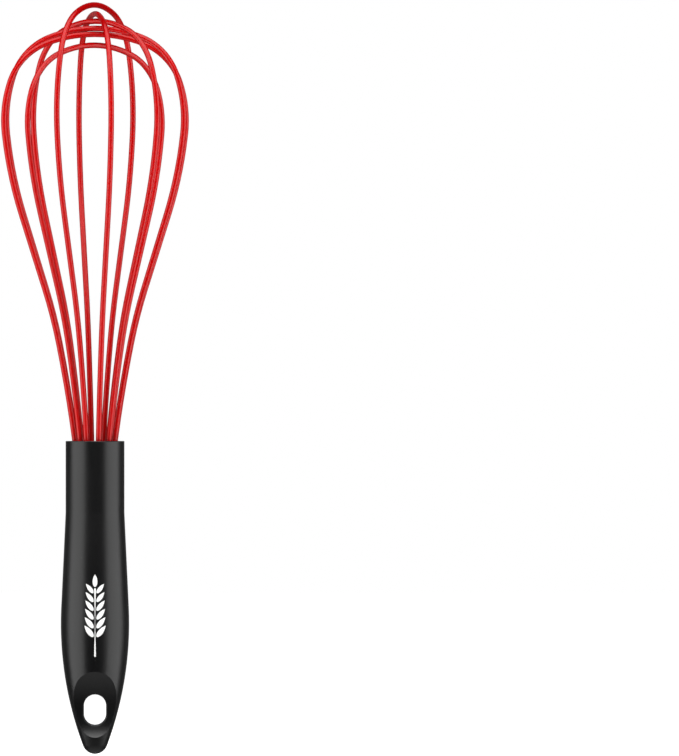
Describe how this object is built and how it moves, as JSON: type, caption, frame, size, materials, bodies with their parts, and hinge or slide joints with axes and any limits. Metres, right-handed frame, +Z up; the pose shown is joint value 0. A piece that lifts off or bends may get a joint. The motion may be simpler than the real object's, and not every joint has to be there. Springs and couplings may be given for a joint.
{
  "type": "balloon whisk",
  "caption": "Balloon whisk with nested red silicone-covered wire loops in a black moulded handle with a hanging slot.",
  "frame": {"origin": "the rounded tip of the handle, on the handle's axis", "axes": "+Z up the handle's axis to the top of the wire balloon, the printed side of the handle faces -Y, +X to its right"},
  "size_m": [0.0762, 0.0758, 0.3052],
  "materials": {
    "handle_plastic": "satin black moulded nylon",
    "plug_plastic": "plain black moulded nylon",
    "resin": "cast epoxy, amber",
    "plate_steel": "stamped stainless",
    "spring_steel": "drawn stainless wire",
    "red_silicone": "satin red silicone"
  },
  "bodies": {
    "root": {"handle": "handle_plastic", "guide_plug": "plug_plastic", "potting": "resin", "anchor_plate": "plate_steel", "core_a": "spring_steel", "core_b": "spring_steel", "core_c": "spring_steel", "core_d": "spring_steel", "core_e": "spring_steel", "core_f": "spring_steel", "sleeve_a": "red_silicone", "sleeve_b": "red_silicone", "sleeve_c": "red_silicone", "sleeve_d": "red_silicone", "sleeve_e": "red_silicone", "sleeve_f": "red_silicone"}
  },
  "joints": []
}
